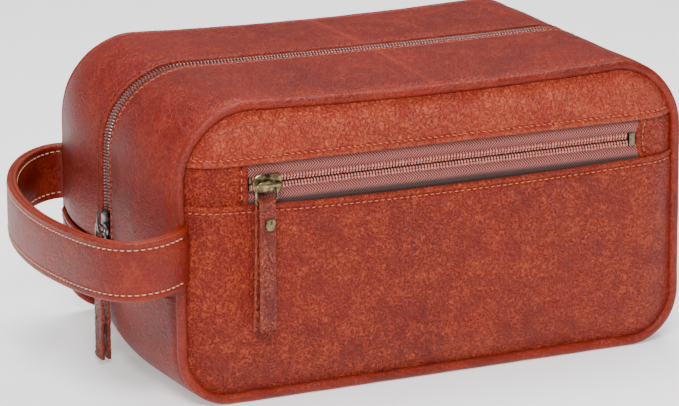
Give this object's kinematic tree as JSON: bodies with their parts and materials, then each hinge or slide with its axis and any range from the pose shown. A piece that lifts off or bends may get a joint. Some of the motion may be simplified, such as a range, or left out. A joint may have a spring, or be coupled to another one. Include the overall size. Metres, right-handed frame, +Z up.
{
  "type": "shaving kit bag",
  "caption": "Leather shaving kit bag with a curved zip mouth over the top and ends, a zipped front pocket, leather zip pulls and a side strap handle.",
  "frame": {"origin": "middle of the base, on the surface the bag stands on", "axes": "+Z up, +X along the bag's length towards the end without the handle, -Y towards the front with the pocket"},
  "size_m": [0.3122, 0.1748, 0.142],
  "materials": {
    "leather": "pebbled pull-up leather, semi-gloss",
    "welt_leather": "smooth piping leather",
    "strap_leather": "smooth strap leather, stitched",
    "pull_leather": "smooth above the rivet, embossed below",
    "welt_cord": "twisted cord",
    "lining_fabric": "plain woven lining",
    "board": "stiff board",
    "zip_tape": "herringbone woven tape",
    "zip_coil": "nylon coil",
    "stop_metal": "stamped clips",
    "dark_metal": "dark antique plating",
    "antique_brass": "antique brass plating"
  },
  "bodies": {
    "bag": {"front_lower_panel": "leather", "front_yoke": "leather", "front_zip_tab_left": "leather", "front_zip_tab_right": "leather", "rear_panel": "leather", "base_gusset": "leather", "front_left_strip": "leather", "front_right_strip": "leather", "rear_left_strip": "leather", "rear_right_strip": "leather", "front_welt": "welt_leather", "rear_welt": "welt_leather", "front_welt_core": "welt_cord", "rear_welt_core": "welt_cord", "front_lining": "lining_fabric", "rear_lining": "lining_fabric", "gusset_lining": "lining_fabric", "pocket_lining": "lining_fabric", "base_board": "board", "pocket_tape_upper": "zip_tape", "pocket_tape_lower": "zip_tape", "front_left_tape": "zip_tape", "front_right_tape": "zip_tape", "rear_left_tape": "zip_tape", "rear_right_tape": "zip_tape", "pocket_chain_upper": "zip_coil", "pocket_chain_lower": "zip_coil", "front_left_chain": "zip_coil", "front_right_chain": "zip_coil", "rear_left_chain": "zip_coil", "rear_right_chain": "zip_coil", "pocket_top_stops": "stop_metal", "pocket_bottom_stop": "stop_metal", "main_top_stops": "stop_metal", "main_bottom_stop": "stop_metal", "handle_front_root": "strap_leather", "handle_rear_root": "strap_leather"},
    "front_mouth": {"front_mouth_strip": "leather", "front_mouth_tape": "zip_tape", "front_mouth_chain": "zip_coil", "front_mouth_lining": "lining_fabric"},
    "rear_mouth": {"rear_mouth_strip": "leather", "rear_mouth_tape": "zip_tape", "rear_mouth_chain": "zip_coil", "rear_mouth_lining": "lining_fabric"},
    "pocket_lip": {"pocket_lip_tape": "zip_tape", "pocket_lip_chain": "zip_coil"},
    "handle": {"handle_outer_leather": "strap_leather", "handle_inner_leather": "strap_leather"},
    "main_slider": {"main_slider": "dark_metal"},
    "main_ring": {"main_ring": "dark_metal"},
    "main_pull": {"main_pull_leather": "pull_leather", "main_pull_rivet": "antique_brass"},
    "pocket_slider": {"pocket_slider": "antique_brass"},
    "pocket_ring": {"pocket_ring": "antique_brass"},
    "pocket_pull": {"pocket_pull_leather": "pull_leather", "pocket_pull_rivet": "antique_brass"}
  },
  "joints": [
    {"name": "front_mouth_lift", "type": "hinge", "parent": "bag", "child": "front_mouth", "pos_m": [0, -0.0749, 0.1394], "axis": [1, 0, 0], "range_deg": [0, 75]},
    {"name": "rear_mouth_lift", "type": "hinge", "parent": "bag", "child": "rear_mouth", "pos_m": [0, 0.0749, 0.1394], "axis": [-1, 0, 0], "range_deg": [0, 75]},
    {"name": "pocket_lip_flex", "type": "hinge", "parent": "bag", "child": "pocket_lip", "pos_m": [0, -0.082, 0.0955], "axis": [1, 0, 0], "range_deg": [0, 60], "stiffness_Nm_per_rad": 0.005},
    {"name": "handle_flex", "type": "hinge", "parent": "bag", "child": "handle", "pos_m": [-0.1435, 0, 0.074], "axis": [0, -1, 0], "range_deg": [-20, 8], "stiffness_Nm_per_rad": 0.5},
    {"name": "main_zip_slide", "type": "slide", "parent": "bag", "child": "main_slider", "axis": [0, 0, 1], "range_m": [0, 0.023]},
    {"name": "main_ring_swing", "type": "hinge", "parent": "main_slider", "child": "main_ring", "pos_m": [-0.1379, 0, 0.0684], "axis": [0, 1, 0], "range_deg": [0, 60]},
    {"name": "main_pull_swing", "type": "hinge", "parent": "main_ring", "child": "main_pull", "pos_m": [-0.1379, 0, 0.0594], "axis": [0, 1, 0], "range_deg": [0, 80]},
    {"name": "pocket_zip_slide", "type": "slide", "parent": "bag", "child": "pocket_slider", "axis": [1, 0, 0], "range_m": [0, 0.178]},
    {"name": "pocket_ring_swing", "type": "hinge", "parent": "pocket_slider", "child": "pocket_ring", "pos_m": [-0.0899, -0.08835, 0.1046], "axis": [-1, 0, 0], "range_deg": [0, 40]},
    {"name": "pocket_pull_swing", "type": "hinge", "parent": "pocket_ring", "child": "pocket_pull", "pos_m": [-0.0899, -0.08835, 0.0971], "axis": [-0.9511, -0.309, 0], "range_deg": [0, 100]}
  ]
}
